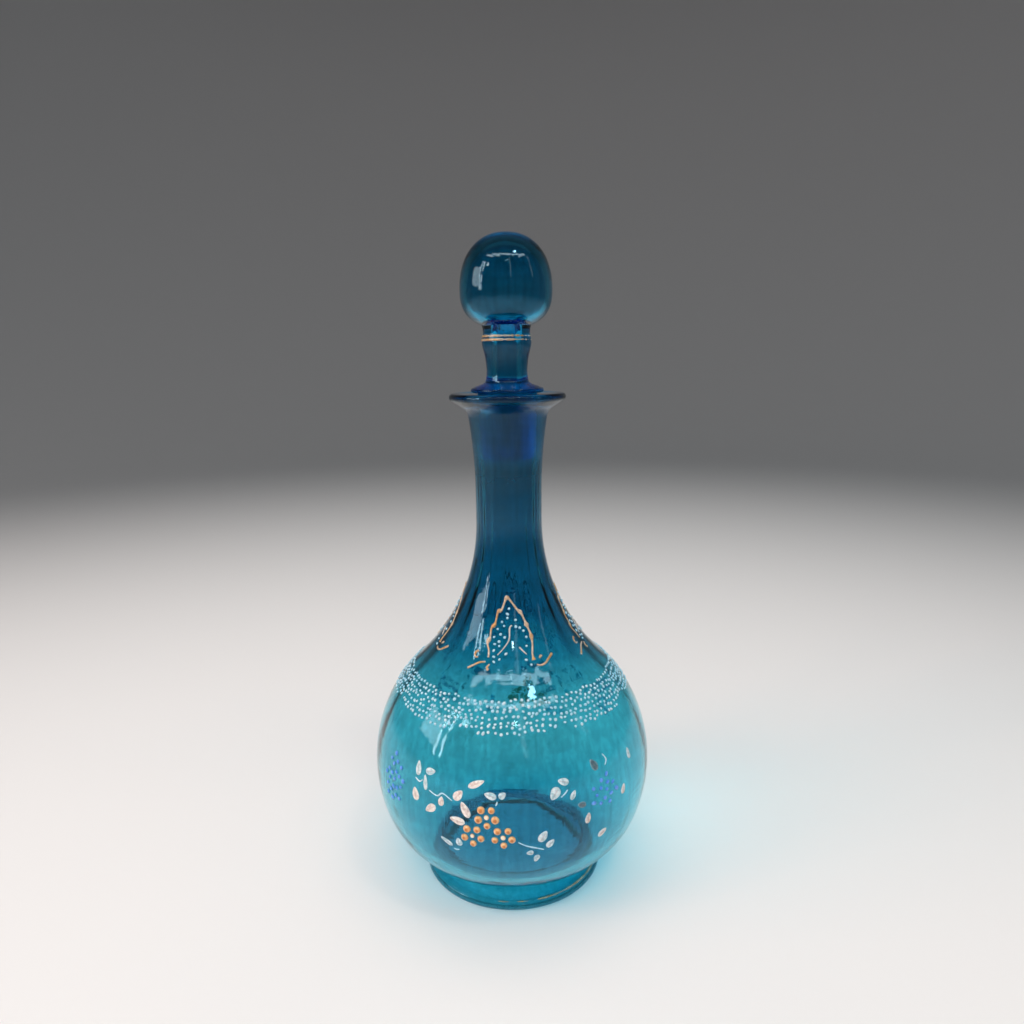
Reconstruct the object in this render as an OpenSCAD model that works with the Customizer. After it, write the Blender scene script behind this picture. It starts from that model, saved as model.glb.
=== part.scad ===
// Rosewater bottle of blown glass with a ball stopper, gilded and enamelled.
// Millimetres, +Z up. The origin is the centre of the foot's underside, and the front faces -Y.
// Angles round the bottle are measured from the front, positive towards +X.

/* [Bottle] */
// Radius of the globe
globe_r = 57; // [52:0.5:60]
// Height of the globe's centre
globe_z = 50; // [47:0.5:54]
// Radius of the rounded heel under the globe
heel_r = 34; // [30:0.5:37]
// Radius of the flat pad that the foot is fused to
pad_r = 29.5; // [26:0.5:32]
// Outer radius of the neck at its narrowest
waist_r = 13.15; // [12.5:0.05:14.5]
// Length of the straight part of the neck
waist_len = 11; // [5:0.5:20]
// Height of the lip's flat top
lip_z = 200; // [185:1:220]
// Radius of the lip
lip_r = 22.7; // [21.5:0.1:26]
// Radius of the lip's rounded edge
rim_r = 1.5; // [1:0.1:2]
// Radius of the long sweep that widens the upper neck
sweep_r = 200; // [150:5:230]
// Angle that the upper neck turns outwards
sweep_a = 8.6; // [6:0.1:10]
// Radius of the tight turn under the lip
flare_r = 5; // [3:0.5:6]
// Angle of the lip's underside from the vertical
flare_a = 58; // [50:1:65]
// Thickness of the glass
wall = 2.6; // [2:0.1:3.2]
// Thickness of the globe's floor
base_t = 4; // [3:0.1:6]

/* [Ground seat] */
// Radius of the ground seat at the mouth
seat_top_r = 11.6; // [11.2:0.05:12.2]
// Depth of the ground seat below the lip
seat_len = 28; // [26:0.5:34]
// Bevel round the mouth
mouth_bevel = 0.6; // [0.3:0.1:1]
// Clearance between the seat and the plug
seat_gap = 0.15; // [0.1:0.01:0.25]

/* [Foot] */
// Height of the foot
foot_h = 8; // [6:0.5:10]
// Radius of the foot
foot_r = 37.3; // [35:0.1:40]
// Radius of the rounding on the foot's rim
foot_edge_r = 1.7; // [1:0.1:2]
// Thickness of the foot's top under the pad
foot_top_t = 3; // [2:0.1:4]
// Width of the flat ring that the bottle stands on
ring_w = 4; // [3:0.1:5]

/* [Stopper] */
// Depth of the plug below the lip
plug_len = 25; // [20:0.5:26]
// Bevel at the plug's tip
plug_bevel = 1; // [0.5:0.1:1.5]
// Radius of the blow hole
hole_r = 4; // [3:0.1:4.5]
// Radius of the seating flange
flange_r = 14.2; // [13:0.1:16]
// Thickness of the seating flange
flange_t = 2.8; // [2:0.1:4]
// Gap between the flange and the lip
flange_gap = 0.2; // [0.1:0.05:0.3]
// Radius of the shaft at its narrowest
shaft_r = 7.9; // [7:0.1:8.5]
// Radius of the collar
collar_r = 9.5; // [9.1:0.1:10.5]
// Height of the collar above the lip
collar_h = 18.7; // [17:0.1:19.5]
// Radius of the dip between the collar and the ball
dip_r = 9; // [8:0.1:9.2]
// Radius of the ball
ball_r = 17.6; // [16:0.1:20]
// Height of the ball's widest line above the lip
ball_h = 38; // [36:0.5:42]
// Depth of the ball below its widest line
ball_low = 13.8; // [12.5:0.1:14.5]
// Height of the ball above its widest line
ball_up = 21; // [18:0.5:24]
// Thickness of the ball's glass
ball_wall = 2.4; // [1.5:0.1:3]

/* [Gilding and enamel] */
// Clearance that keeps a painted layer clear of the glass
paint_gap = 0.03; // [0.02:0.01:0.05]
// Thickness of the gilding
gilt_t = 0.18; // [0.1:0.01:0.3]
// Thickness of a drawn enamel stroke
stroke_t = 0.35; // [0.2:0.05:0.5]
// Width of the gilt arch lines
arch_w = 1.2; // [0.9:0.05:1.4]
// Thickness of the gilt arch lines
arch_t = 0.29; // [0.2:0.01:0.4]
// Width of the white inner strokes
inner_w = 1.1; // [0.8:0.1:1.4]
// Width of the stems
stem_w = 0.8; // [0.5:0.1:1]
// Radius of a white dot
dot_r = 0.62; // [0.5:0.02:0.8]
// Height of a white dot
dot_h = 0.45; // [0.3:0.05:0.6]
// Distance between the garland's dots
dot_pitch = 2.2; // [2.1:0.05:3]
// Height of the garland's top row
garland_z = 90.4; // [86:0.2:91]
// Length of the garland's lobes along the glass
garland_len = 13.2; // [10:0.2:15]
// Length of the garland between two lobes
garland_min = 8; // [6:0.2:9]
// Radius of a berry
berry_r = 1.4; // [1.1:0.05:1.5]
// Height of a berry
berry_h = 1; // [0.7:0.05:1.3]
// Distance of the berries from their flower's centre
berry_ring_r = 3.2; // [3.1:0.05:3.6]
// Radius of a pearly centre
pearl_r = 1.1; // [0.8:0.05:1.3]
// Radius of a blue bead
blue_r = 0.95; // [0.7:0.05:1]
// Thickness of a leaf
leaf_t = 0.3; // [0.2:0.05:0.5]

/* [Hidden] */
$fn = 96;
arc_step = 4;           // degrees between the points of an arc in an outline
curve_steps = 4;        // points between two guides of a smooth curve
eps = 0.01;

GLASS = [0.16, 0.5, 0.6, 0.75];
GILT = [0.78, 0.62, 0.42];
WHITE = [0.9, 0.95, 0.98];
ORANGE = [0.93, 0.55, 0.25];
BLUE = [0.3, 0.45, 0.8];
PINKISH = [0.85, 0.8, 0.78];

// Plane curves

// The points of an arc about c from angle a0 to angle a1
function arc(c, r, a0, a1) =
    let (n = max(2, ceil(abs(a1 - a0) / arc_step)))
    [for (i = [0:n]) c + r * [cos(a0 + (a1 - a0) * i / n), sin(a0 + (a1 - a0) * i / n)]];

// A smooth curve through guide points, in any number of dimensions
function smooth(p, n = curve_steps) =
    let (m = len(p) - 1)
    [for (i = [0:m - 1]) for (k = [0:n - 1])
        let (t = k / n, a = p[max(i - 1, 0)], b = p[i], c = p[i + 1], d = p[min(i + 2, m)])
        b + 0.5 * t * ((c - a) + t * ((2 * a - 5 * b + 4 * c - d) + t * (3 * (b - c) + d - a))),
    p[m]];

// Part of a rounded oval: half width w, half height h, from angle a0 to a1, squarer as e grows
function oval(z, w, h, e, a0, a1) =
    let (n = max(2, ceil(abs(a1 - a0) / arc_step)))
    [for (i = [0:n]) let (a = a0 + (a1 - a0) * i / n)
        [w * pow(cos(a), 2 / e), z + sign(a) * h * pow(abs(sin(a)), 2 / e)]];

// The bottle's outline

globe_c = [0, globe_z];
heel_a = asin((globe_z - heel_r - foot_h) / (globe_r - heel_r));
heel_c = (globe_r - heel_r) * [cos(heel_a), -sin(heel_a)] + globe_c;
pad_a = acos((pad_r - heel_c.x) / heel_r);
rim_c = [lip_r - rim_r, lip_z - rim_r];
flare_len = (rim_c.x + rim_r * cos(flare_a) - waist_r - sweep_r * (1 - cos(sweep_a))
    - flare_r * (cos(sweep_a) - cos(flare_a))) / sin(flare_a);
sweep_z = rim_c.y - rim_r * sin(flare_a) - flare_len * cos(flare_a)
    - flare_r * (sin(flare_a) - sin(sweep_a)) - sweep_r * sin(sweep_a);
sweep_c = [waist_r + sweep_r, sweep_z];
flare_c = sweep_c - (sweep_r - flare_r) * [cos(sweep_a), -sin(sweep_a)];
waist_z = sweep_z - waist_len;
shoulder_r = (pow(waist_z - globe_z, 2) - globe_r * globe_r + waist_r * waist_r)
    / (2 * (globe_r - waist_r));
shoulder_c = [waist_r + shoulder_r, waist_z];
shoulder_a = atan2(waist_z - globe_z, shoulder_c.x);

// The outside from the pad's edge to the top of the lip's edge
outside = [
    each arc(heel_c, heel_r, -pad_a, -heel_a),
    each arc(globe_c, globe_r, -heel_a + arc_step, shoulder_a - arc_step),
    each arc(shoulder_c, shoulder_r, 180 + shoulder_a, 180),
    each arc(sweep_c, sweep_r, 180, 180 - sweep_a),
    each arc(flare_c, flare_r, 180 - sweep_a - arc_step, 180 - flare_a),
    each arc(rim_c, rim_r, -flare_a, 90)];

bore_r = waist_r - wall;
seat_z = lip_z - seat_len;
floor_z = foot_h + base_t;
floor_a = asin((heel_c.y - floor_z) / (heel_r - wall));

// The inside from the mouth to the floor
inside = [
    [seat_top_r + mouth_bevel, lip_z],
    [seat_top_r, lip_z - mouth_bevel],
    [bore_r, seat_z],
    each arc(shoulder_c, shoulder_r + wall, 180, 180 + shoulder_a),
    each arc(globe_c, globe_r - wall, shoulder_a - arc_step, -heel_a + arc_step),
    each arc(heel_c, heel_r - wall, -heel_a, -floor_a),
    [0, floor_z]];

// Radius of the ground seat at height z
function seat_r(z) =
    bore_r + (seat_top_r - bore_r) * (z - seat_z) / (lip_z - mouth_bevel - seat_z);

module bottle() {
    color(GLASS)
    rotate_extrude()
    polygon([[0, foot_h], [pad_r, foot_h], each outside, each inside]);
}

// The foot: a flared plate with a rounded rim, hollow underneath

foot_top_in = foot_h - foot_top_t;
foot_guides = [[0.3, 0.7], [0.75, 0.48]];      // shares of the flare's width and the foot's height
foot_lip_h = foot_edge_r * 1.7;                 // where the flare meets the rounded rim
foot_flare = smooth([
    [pad_r, foot_h],
    for (g = foot_guides) [pad_r + (foot_r - pad_r) * g.x, foot_h * g.y],
    [foot_r - foot_edge_r * 0.3, foot_lip_h]]);

module foot() {
    color(GLASS)
    rotate_extrude()
    polygon([
        [0, foot_top_in],
        [0, foot_h],
        each foot_flare,
        each arc([foot_r - foot_edge_r, foot_edge_r], foot_edge_r, 0, -90),
        [foot_r - foot_edge_r - ring_w, 0],
        [pad_r - foot_top_t, foot_top_in]]);
}

// The stopper

plug_z = lip_z - plug_len;
flange_z = lip_z + flange_gap;
flange_top = flange_z + flange_t;
collar_z = lip_z + collar_h;
ball_z = lip_z + ball_h;
oval_up = 2.25;         // squareness of the ball's upper half
oval_low = 2.5;         // squareness of its lower half
ball_neck_r = dip_r + 0.4;
ball_neck_a = acos(pow(ball_neck_r / ball_r, oval_low / 2));
hollow_a = acos(pow(hole_r / (ball_r - ball_wall), oval_low / 2));
ball_neck_z = ball_z - ball_low * pow(sin(ball_neck_a), 2 / oval_low);

stem = smooth([
    [flange_r - flange_t / 2, flange_top],
    [shaft_r + 1.2, flange_top + 0.9],
    [shaft_r + 0.3, flange_top + 2.4],
    [shaft_r, flange_top + 6],
    [shaft_r + 0.5, collar_z - 5],
    [collar_r, collar_z],
    [dip_r, (collar_z + ball_neck_z) / 2 + 0.4],
    [ball_neck_r, ball_neck_z]]);

stopper_outside = [
    each stem,
    each oval(ball_z, ball_r, ball_low, oval_low, -ball_neck_a + arc_step, -arc_step),
    each oval(ball_z, ball_r, ball_up, oval_up, arc_step, 90)];

module stopper() {
    color(GLASS)
    rotate_extrude()
    polygon([
        [hole_r, plug_z],
        [seat_r(plug_z) - seat_gap - plug_bevel, plug_z],
        [seat_r(plug_z + plug_bevel) - seat_gap, plug_z + plug_bevel],
        [seat_r(lip_z - mouth_bevel) - seat_gap, lip_z - mouth_bevel],
        [seat_r(lip_z - mouth_bevel) - seat_gap, flange_z],
        each arc([flange_r - flange_t / 2, flange_z + flange_t / 2], flange_t / 2, -90, 86),
        each stopper_outside,
        each oval(ball_z, ball_r - ball_wall, ball_up - ball_wall, oval_up, 90, arc_step),
        each oval(ball_z, ball_r - ball_wall, ball_low - ball_wall, oval_low,
            -arc_step, -hollow_a)]);
}

// Places on the glass

function radius_at(points, z) = lookup(z, [for (p = points) [p.y, p.x]]);
function glass_r(z) = radius_at(outside, z);
function lean(z) = 90 + atan(glass_r(z + 0.5) - glass_r(z - 0.5));
function out_dir(az, z) = [sin(az) * sin(lean(z)), -cos(az) * sin(lean(z)), cos(lean(z))];
function on_glass(az, z) = [glass_r(z) * sin(az), -glass_r(z) * cos(az), z];

// Puts its child on the glass at angle az and height z, with the child's +X drawn towards
// turn: 0 is to the right, and 90 is up the glass
module at_glass(az, z, turn = 0) {
    rotate([0, 0, az - 90])
    translate([glass_r(z), 0, z])
    rotate([0, lean(z), 0])
    translate([0, 0, paint_gap])
    rotate([0, 0, turn + 90])
    children();
}

// A drop of enamel
module drop(r, h) {
    ball = (r * r + h * h) / (2 * h);
    rotate_extrude($fn = 32)
    intersection() {
        translate([0, h - ball]) circle(ball, $fn = 64);
        square([r + eps, h]);
    }
}

// A drawn line that follows the glass through the points [angle, height]
module stroke(path, w, t) {
    n = len(path);
    last = n - 1;
    rings = [for (i = [0:last])
        let (
            p = on_glass(path[i].x, path[i].y),
            along = on_glass(path[min(i + 1, last)].x, path[min(i + 1, last)].y)
                - on_glass(path[max(i - 1, 0)].x, path[max(i - 1, 0)].y),
            up = out_dir(path[i].x, path[i].y),
            side = cross(up, along) / norm(cross(up, along)))
        each [
            p + side * w / 2 + up * paint_gap,
            p + side * w / 4 + up * (paint_gap + t),
            p - side * w / 4 + up * (paint_gap + t),
            p - side * w / 2 + up * paint_gap]];
    sides = [for (i = [0:last - 1]) for (k = [0:3])
        let (a = 4 * i + k, b = 4 * i + (k + 1) % 4)
        each [[a, b, b + 4], [a, b + 4, a + 4]]];
    first_cap = [[0, 2, 1], [0, 3, 2]];
    last_cap = [for (f = first_cap) [f[0], f[2], f[1]] + 4 * last * [1, 1, 1]];
    polyhedron(rings, [each sides, each first_cap, each last_cap]);
}

// Turns a path round the bottle
function turned(path, az) = [for (p = path) [az + p.x, p.y]];

// Gilding rings

gilt_band_h = 1;
gilt_band_gap = 0.4;

// A thin band that follows an outline from z0 to z1
module band(points, z0, z1) {
    n = 4;
    zs = [for (i = [0:n]) z0 + (z1 - z0) * i / n];
    rotate_extrude()
    polygon([
        for (z = zs) [radius_at(points, z) + paint_gap, z],
        for (i = [n:-1:0]) [radius_at(points, zs[i]) + paint_gap + gilt_t, zs[i]]]);
}

collar_band_up = 0.8;   // from the collar's widest line to the lower gilt line

module collar_gilding() {
    low = collar_z + collar_band_up;
    color(GILT) {
        band(stopper_outside, low, low + gilt_band_h);
        band(stopper_outside, low + gilt_band_h + gilt_band_gap, low + 2 * gilt_band_h + gilt_band_gap);
    }
}

foot_rising = [for (i = [len(foot_flare) - 1:-1:0]) foot_flare[i]];

module foot_gilding() {
    low = foot_lip_h + gilt_band_gap;
    color(GILT) band(foot_rising, low, low + gilt_band_h / 2);
}

// The pointed arches on the shoulder: guides [angle, height] of the stepped outline, from its
// left foot over the point to its right foot, and of the scrolls at its feet

arch_guides = [
    [-17, 102.6], [-17.6, 104.8], [-19.8, 107], [-18.4, 109.2], [-18.4, 112], [-15.6, 113.4],
    [-14.4, 115.6], [-13.4, 117.8], [-9.6, 118.6], [-7, 120.8], [-4, 122.9], [1.4, 121.4],
    [7.2, 118.8], [11.4, 117.4], [14.2, 115], [16.2, 112.8], [18.6, 109.6], [18.4, 106.6],
    [16.8, 103.6], [17, 101.6]];
scrolls = [
    [[18.4, 100.2], [21, 99.8], [25, 100.2], [28.4, 101.3], [32.6, 102.6]],
    [[21.6, 101.9], [22.6, 102.6], [23.8, 102.4]],
    [[-18.6, 101.2], [-23, 100.8], [-27, 99.7], [-30.6, 98.6]],
    [[-25.4, 102.3], [-27.8, 102.4], [-28.2, 103.6], [-26, 104.4]],
    [[-15.2, 100.6], [-16.8, 99.6], [-15.4, 98.8]]];
inner_strokes = [
    [[1.4, 113.2], [-0.8, 112.2], [-1.1, 108.9], [-3.6, 106.9], [-7.4, 104.9], [-10.4, 103.5]],
    [[7, 106], [10, 104.6], [12.2, 103.6]]];
stroke_steps = 3;       // rings between two guides of a drawn line

module arch(az) {
    color(GILT)
    for (guides = [arch_guides, each scrolls])
        stroke(turned(smooth(guides, stroke_steps), az), arch_w, arch_t);
}

module arch_strokes(az) {
    color(WHITE)
    for (guides = inner_strokes)
        stroke(turned(smooth(guides, stroke_steps), az), inner_w, stroke_t);
}

// White dots inside an arch: [angle, height]
arch_dots_at = [
    [-1.6, 119], [-3.5, 117.2], [-3, 115.6], [-8.4, 114.4], [-5.9, 112.9], [5.6, 114.9],
    [-12.3, 111.8], [-8.8, 110.3], [-14.4, 109.1], [-10.2, 107.9], [-13.8, 107], [-9.8, 106.4],
    [-13.9, 104.9], [-5.5, 109.2], [-4, 103.9], [5, 112.8], [8.8, 112.2], [12.5, 111.2],
    [13.8, 109.1], [13.3, 106.2], [-12.2, 101.5], [-8.2, 102.2], [-13.2, 102.9], [11.1, 101.9],
    [14.2, 100.4]];

module arch_dots(az) {
    color(WHITE)
    for (p = arch_dots_at) at_glass(az + p.x, p.y) drop(dot_r, dot_h);
}

// The garland of white dots, a quarter turn at a time

lobes = 8;
garland_a = asin((garland_z - globe_z) / globe_r);
row_step = dot_pitch * sin(60);
rows = floor(garland_len / row_step);
function lobe_len(az) = garland_min + (garland_len - garland_min) * sqrt(abs(cos(az * lobes / 2)));

module garland(az) {
    color(WHITE)
    for (row = [0:rows]) {
        down = row * row_step;
        z = globe_z + globe_r * sin(garland_a - down / globe_r * 180 / PI);
        count = round(2 * PI * glass_r(z) / dot_pitch / 4);
        for (i = [0:count - 1]) {
            a = -45 + (i + 0.25 + 0.5 * (row % 2)) * 90 / count;
            if (down <= lobe_len(a)) at_glass(az + a, z) drop(dot_r, dot_h);
        }
    }
}

// The flowers: [angle, height] of each flower's centre

flower_at = [[-9.5, 54.2], [-14.8, 46.4], [-3.6, 46.6]];
flower_turn = 57;
petals = 5;

module flower_places(az) {
    for (p = flower_at) at_glass(az + p.x, p.y) children();
}

module berries(az) {
    color(ORANGE)
    flower_places(az)
    for (i = [0:petals - 1])
        rotate(flower_turn + i * 360 / petals) translate([berry_ring_r, 0]) drop(berry_r, berry_h);
}

module pearls(az) {
    color(WHITE) flower_places(az) drop(pearl_r, berry_h * 0.8);
}

// The leaves: [angle, height, direction of the tip, length, width]

leaves_a = [[-17.5, 56, 118, 6.4, 3.2], [-20.5, 51.4, 170, 6, 3.2], [-25.4, 41.6, 150, 5.4, 2],
    [-20.3, 42.6, 100, 3.4, 2.8], [-8.2, 62, 165, 4.6, 2.8], [-3.8, 62.3, 40, 3, 2.6],
    [10.8, 46.2, 60, 5, 3.4], [13.6, 42.8, 50, 4, 2.8], [6.1, 39.6, 180, 2.6, 2.4],
    [8.6, 36.8, 250, 3.4, 2.4]];
leaves_b = [[19.2, 65.2, 160, 4.4, 2.8], [15.6, 61.6, 235, 5, 4], [22.7, 59.8, 60, 3.8, 2.2],
    [33.2, 67.8, 120, 5, 3], [26, 55.4, 165, 3.6, 2.4], [53.5, 65.2, 95, 4.6, 2.2],
    [28.6, 49.4, 80, 4.4, 2.6], [47, 54, 70, 4, 2.6], [36, 40.4, 30, 4.4, 3]];
leaves_c = [[-39, 66, 95, 5.4, 2.8], [-33, 66.4, 15, 4.4, 2.8], [-34.8, 62, 100, 5.6, 2],
    [-39.2, 56.4, 105, 5, 3.6], [-31.8, 53.2, 215, 5.4, 3.2], [-27.2, 57.2, 85, 3.6, 2.6],
    [-20.4, 60.8, 50, 4.8, 3.4], [-13.6, 65.6, 25, 6.6, 2.6]];

// A flat leaf with a round end and a pointed tip along +X, its middle at the origin
module leaf(len, w) {
    n = 10;
    half = [for (i = [0:n]) let (t = i / n)
        [len * (t - 0.5), w * 0.62 * sqrt(t) * (1 - t) * (1.6 + 0.6 * (1 - t))]];
    linear_extrude(leaf_t)
    polygon([
        each half,
        for (i = [n - 1:-1:1]) [half[i].x, -half[i].y]]);
}

module leaves(az, list, tone) {
    color(tone)
    for (p = list)
        at_glass(az + p[0], p[1], p[2]) leaf(p[3], p[4]);
}

// The stems: guide points [angle, height]

stems_a = [[[1.8, 44.6], [4.6, 43], [8, 41.8], [11.2, 40.6]], [[-5.6, 60.2], [-5.8, 59.4], [-6.2, 58.7]],
    [[-22.6, 39.2], [-21.6, 38.9], [-20.4, 39.2]]];
stems_b = [[[17.8, 60], [19.4, 61], [20.6, 62.2]], [[38.4, 66.2], [39.6, 68], [38.2, 70.2]]];
stems_c = [[[-32.6, 59.8], [-29, 58.8], [-26.6, 60.2], [-22.6, 58.4]],
    [[-39.8, 62.4], [-37.6, 61.6], [-36.2, 62.6]]];

module stems(az, list) {
    color(WHITE)
    for (guides = list) stroke(turned(smooth(guides, stroke_steps), az), stem_w, stroke_t);
}

// The clusters of blue beads, filled in a spiral

bead_area = 9.2;        // glass that each bead takes, in square millimetres
cluster_w = 6.5;        // half the width of a cluster
turn_step = 137.5;      // degrees from each bead to the next

// The clusters' places: [angle, height, half the cluster's height]
right_cluster = [36.5, 57.5, 6.5];
left_cluster = [-53, 57, 10];

module blue_cluster(az, place) {
    beads = round(PI * cluster_w * place[2] / bead_area);
    color(BLUE)
    for (i = [0:beads - 1]) {
        out = sqrt((i + 0.5) / beads);
        at_glass(
            az + place.x + out * cluster_w * cos(i * turn_step) * 180 / PI / globe_r,
            place.y + out * place[2] * sin(i * turn_step))
        drop(blue_r, dot_h * 1.3);
    }
}

bottle();
foot();
stopper();
collar_gilding();
foot_gilding();
arch(0);  // arch_front
arch(90);  // arch_right
arch(180);  // arch_back
arch(270);  // arch_left
arch_strokes(0);  // arch_strokes_front
arch_strokes(90);  // arch_strokes_right
arch_strokes(180);  // arch_strokes_back
arch_strokes(270);  // arch_strokes_left
arch_dots(0);  // arch_dots_front
arch_dots(90);  // arch_dots_right
arch_dots(180);  // arch_dots_back
arch_dots(270);  // arch_dots_left
garland(0);  // garland_front
garland(90);  // garland_right
garland(180);  // garland_back
garland(270);  // garland_left
berries(0);  // berries_front
berries(180);  // berries_back
pearls(0);  // pearls_front
pearls(180);  // pearls_back
leaves(0, leaves_a, WHITE);  // leaves_front
union() {  // leaves_right
    leaves(0, leaves_b, PINKISH);
    leaves(180, leaves_c, PINKISH);
}
leaves(180, leaves_a, WHITE);  // leaves_back
union() {  // leaves_left
    leaves(0, leaves_c, PINKISH);
    leaves(180, leaves_b, PINKISH);
}
stems(0, stems_a);  // stems_front
union() {  // stems_right
    stems(0, stems_b);
    stems(180, stems_c);
}
stems(180, stems_a);  // stems_back
union() {  // stems_left
    stems(0, stems_c);
    stems(180, stems_b);
}
blue_cluster(0, right_cluster);  // blue_cluster_front_right
blue_cluster(180, left_cluster);  // blue_cluster_back_right
blue_cluster(180, right_cluster);  // blue_cluster_back_left
blue_cluster(0, left_cluster);  // blue_cluster_front_left
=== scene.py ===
# %% [markdown]
# A blown teal glass bottle with a ball stopper, gilded and enamelled
#
# The bottle stands on a pale studio floor. Each cell builds one thing: first the outline of
# the glass, then the glass itself, and then what the painter fired onto it, layer by layer.
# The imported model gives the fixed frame, and every place is worked out from it.

# %% Load the frame
import math
import random

import bpy
from mathutils import Matrix, Vector


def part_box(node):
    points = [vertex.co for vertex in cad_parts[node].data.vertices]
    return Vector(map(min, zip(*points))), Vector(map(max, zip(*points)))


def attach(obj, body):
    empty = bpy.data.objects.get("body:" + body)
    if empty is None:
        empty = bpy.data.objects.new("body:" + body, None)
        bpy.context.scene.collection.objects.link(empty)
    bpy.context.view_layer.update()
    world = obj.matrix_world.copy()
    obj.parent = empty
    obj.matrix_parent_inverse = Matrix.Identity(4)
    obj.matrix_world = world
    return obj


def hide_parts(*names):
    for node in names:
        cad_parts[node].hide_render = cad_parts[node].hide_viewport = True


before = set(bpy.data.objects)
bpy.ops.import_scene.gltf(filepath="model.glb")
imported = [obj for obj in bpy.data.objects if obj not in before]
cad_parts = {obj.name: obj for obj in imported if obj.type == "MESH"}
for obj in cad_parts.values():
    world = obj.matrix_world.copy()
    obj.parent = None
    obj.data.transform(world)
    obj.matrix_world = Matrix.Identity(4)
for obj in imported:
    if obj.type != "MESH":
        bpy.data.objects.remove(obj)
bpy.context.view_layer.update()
MM = 0.001

# %% [markdown]
# The camera
#
# The photograph was taken from close by, a little higher than the mouth of the bottle, and
# the camera leaned a little to the right. A short lens near the object gives the wide
# shoulders and the narrow stopper; a long lens far away would flatten both.

# %% Place the camera
IMAGE = 1024
camera_y = -294.1 * MM
camera_z = 213.9 * MM
camera_pitch = 11.735       # degrees below the horizon
camera_yaw = -0.24          # degrees, towards the right
camera_roll = -0.72         # degrees
focal_pixels = 750.5


def place_camera():
    data = bpy.data.cameras.new("camera")
    data.sensor_width = 36
    data.lens = data.sensor_width * focal_pixels / IMAGE
    data.clip_start = 0.01
    camera = bpy.data.objects.new("camera", data)
    bpy.context.scene.collection.objects.link(camera)
    yaw = Matrix.Rotation(math.radians(camera_yaw), 4, "Z")
    tilt = Matrix.Rotation(math.radians(90 - camera_pitch), 4, "X")
    roll = Matrix.Rotation(math.radians(camera_roll), 4, "Z")
    camera.matrix_world = Matrix.Translation((0, camera_y, camera_z)) @ yaw @ tilt @ roll
    bpy.context.scene.camera = camera
    return camera


camera = place_camera()
print(f"camera lens {camera.data.lens:.2f} mm, {-camera_y / MM:.0f} mm in front of the axis")

# %% [markdown]
# Curves in the plane
#
# Blown glass is round about its axis, so its whole form is one outline. A glass blower's
# outline is made of easy arcs: the globe is one arc, the shoulder swings the other way, and
# the neck opens with a third. So the outline is written with arcs that meet tangentially, and
# not as a list of measured points.

# %% Arcs, smooth curves and rounded ovals
fine = 1.5                  # degrees between the points of an arc


def arc(centre, radius, start, end, step=fine):
    """Points of an arc about centre, from the angle start to the angle end, in degrees."""
    count = max(2, math.ceil(abs(end - start) / step))
    angles = [math.radians(start + (end - start) * i / count) for i in range(count + 1)]
    return [(centre[0] + radius * math.cos(a), centre[1] + radius * math.sin(a)) for a in angles]


def smooth(guides, steps=6):
    """A smooth curve through guide points, in any number of dimensions."""
    points = []
    last = len(guides) - 1
    for i in range(last):
        a, b, c, d = (guides[min(max(i + k, 0), last)] for k in (-1, 0, 1, 2))
        for k in range(steps):
            t = k / steps
            points.append(tuple(
                q + 0.5 * t * ((r - p) + t * ((2 * p - 5 * q + 4 * r - s) + t * (3 * (q - r) + s - p)))
                for p, q, r, s in zip(a, b, c, d)))
    return points + [tuple(guides[last])]


def oval(height, half_width, half_height, squareness, start, end, step=fine):
    """Part of a rounded oval about the axis. It grows squarer with squareness."""
    points = []
    for x, y in arc((0, 0), 1, start, end, step):
        side = half_width * max(x, 0) ** (2 / squareness)
        up = half_height * math.copysign(abs(y) ** (2 / squareness), y)
        points.append((side, height + up))
    return points


print("a quarter arc has", len(arc((0, 0), 1, 0, 90)), "points")

# %% [markdown]
# The bottle's outline
#
# The frame gives the sizes that can be read from a box: the globe's radius, the lip's height,
# the foot's radius and its height. The few others are driving dimensions of the same bottle,
# in millimetres. The rest follows, because neighbouring arcs share a tangent.

# %% Work out the outline of the bottle
foot_low, foot_high = (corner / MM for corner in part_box("foot"))
bottle_low, bottle_high = (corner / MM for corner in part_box("bottle"))
globe_r = bottle_high.x
lip_z = bottle_high.z
foot_r = foot_high.x
foot_h = foot_high.z
globe_z = 50
heel_r = 34
pad_r = 29.5
waist_r = 13.15
waist_len = 11
lip_r = 22.7
rim_r = 1.5
sweep_r = 200
sweep_a = 8.6
flare_r = 5
flare_a = 58
wall = 2.6
base_t = 4
seat_top_r = 11.6
seat_len = 28
mouth_bevel = 0.6
foot_edge_r = 1.7
foot_top_t = 3
ring_w = 4

heel_a = math.degrees(math.asin((globe_z - heel_r - foot_h) / (globe_r - heel_r)))
heel_c = ((globe_r - heel_r) * math.cos(math.radians(heel_a)),
          globe_z - (globe_r - heel_r) * math.sin(math.radians(heel_a)))
pad_a = math.degrees(math.acos((pad_r - heel_c[0]) / heel_r))


def cos(degrees):
    return math.cos(math.radians(degrees))


def sin(degrees):
    return math.sin(math.radians(degrees))


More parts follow.
